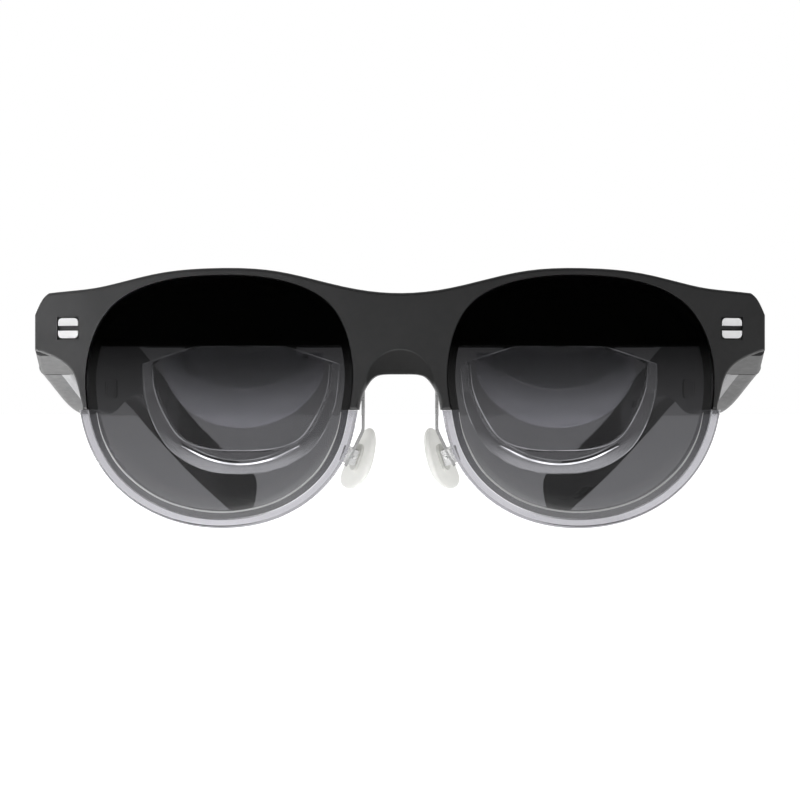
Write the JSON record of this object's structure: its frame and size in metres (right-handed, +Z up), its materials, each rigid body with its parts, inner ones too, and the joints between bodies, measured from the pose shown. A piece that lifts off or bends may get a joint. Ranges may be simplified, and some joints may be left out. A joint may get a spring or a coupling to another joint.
{
  "type": "smart glasses",
  "caption": "Smart glasses: black brow with folding temples, clear lower rims, dark lenses over see-through display optics, and pivoting nose pads.",
  "frame": {"origin": "mid-plane, half way along the depth, level with the lowest point of the temple tips", "axes": "+Z up, the front of the glasses looks along -Y, +X is the wearer's left"},
  "size_m": [0.1498, 0.15, 0.0572],
  "materials": {
    "cover_black": "fine matte",
    "inner_black": "matte",
    "clear_rim": "clear, polished",
    "dark_lens": "tinted, polished",
    "clear_optic": "clear, coated",
    "clear_scoop": "clear, polished",
    "bright_metal": "satin",
    "temple_black": "fine matte",
    "temple_grey": "satin",
    "pad_silicone": "frosted",
    "board_green": "solder mask",
    "device_dark": "matte",
    "key_black": "semi-gloss"
  },
  "bodies": {
    "frame": {"front_cover": "cover_black", "inner_frame": "inner_black", "main_board": "board_green", "wear_sensor": "device_dark", "nose_bracket": "bright_metal", "frame_screws": "bright_metal", "pad_screws": "bright_metal", "accent_plates_left": "bright_metal", "accent_plates_right": "bright_metal", "lower_rim_left": "clear_rim", "lower_rim_right": "clear_rim", "lens_left": "dark_lens", "lens_right": "dark_lens", "optics_housing_left": "inner_black", "optics_housing_right": "inner_black", "microdisplay_left": "device_dark", "microdisplay_right": "device_dark", "display_lens_left": "clear_optic", "display_lens_right": "clear_optic", "beam_splitter_left": "clear_optic", "beam_splitter_right": "clear_optic", "combiner_left": "clear_scoop", "combiner_right": "clear_scoop", "pad_arm_left": "bright_metal", "pad_arm_right": "bright_metal", "hinge_bracket_left": "bright_metal", "hinge_bracket_right": "bright_metal", "hinge_pin_left": "bright_metal", "hinge_pin_right": "bright_metal"},
    "temple_body_left": {"temple_outer_left": "temple_black", "temple_inner_left": "temple_grey", "temple_tip_left": "temple_black", "speaker_left": "device_dark", "speaker_grille_left": "device_dark", "temple_board_left": "board_green", "hinge_leaf_left": "bright_metal", "temple_screws_left": "bright_metal", "charging_port": "bright_metal"},
    "temple_body_right": {"temple_outer_right": "temple_black", "temple_inner_right": "temple_grey", "temple_tip_right": "temple_black", "speaker_right": "device_dark", "speaker_grille_right": "device_dark", "temple_board_right": "board_green", "hinge_leaf_right": "bright_metal", "temple_screws_right": "bright_metal"},
    "pad_body_left": {"nose_pad_left": "pad_silicone", "pad_core_left": "clear_scoop"},
    "pad_body_right": {"nose_pad_right": "pad_silicone", "pad_core_right": "clear_scoop"},
    "rocker_body": {"brightness_rocker": "key_black"},
    "button_body": {"mode_button": "key_black"}
  },
  "joints": [
    {"name": "temple_hinge_left", "type": "hinge", "parent": "frame", "child": "temple_body_left", "pos_m": [0.0674, -0.0516, 0.04381], "axis": [0, 0, 1], "range_deg": [0, 79]},
    {"name": "temple_hinge_right", "type": "hinge", "parent": "frame", "child": "temple_body_right", "pos_m": [-0.0674, -0.0516, 0.04381], "axis": [0, 0, -1], "range_deg": [0, 71]},
    {"name": "pad_pivot_left", "type": "hinge", "parent": "frame", "child": "pad_body_left", "pos_m": [0.00991, -0.06388, 0.02], "axis": [-0.4533, -0.8487, -0.2723], "range_deg": [-4, 4]},
    {"name": "pad_pivot_right", "type": "hinge", "parent": "frame", "child": "pad_body_right", "pos_m": [-0.00991, -0.06388, 0.02], "axis": [-0.4533, 0.8487, 0.2723], "range_deg": [-4, 4]},
    {"name": "rocker_pivot", "type": "hinge", "parent": "temple_body_right", "child": "rocker_body", "pos_m": [-0.071, -0.026, 0.04881], "axis": [1, 0, 0], "range_deg": [-2.5, 2.5], "stiffness_Nm_per_rad": 0.002},
    {"name": "mode_button_press", "type": "slide", "parent": "temple_body_right", "child": "button_body", "axis": [0, 0, -1], "range_m": [0, 0.0005], "stiffness_N_per_m": 40}
  ]
}
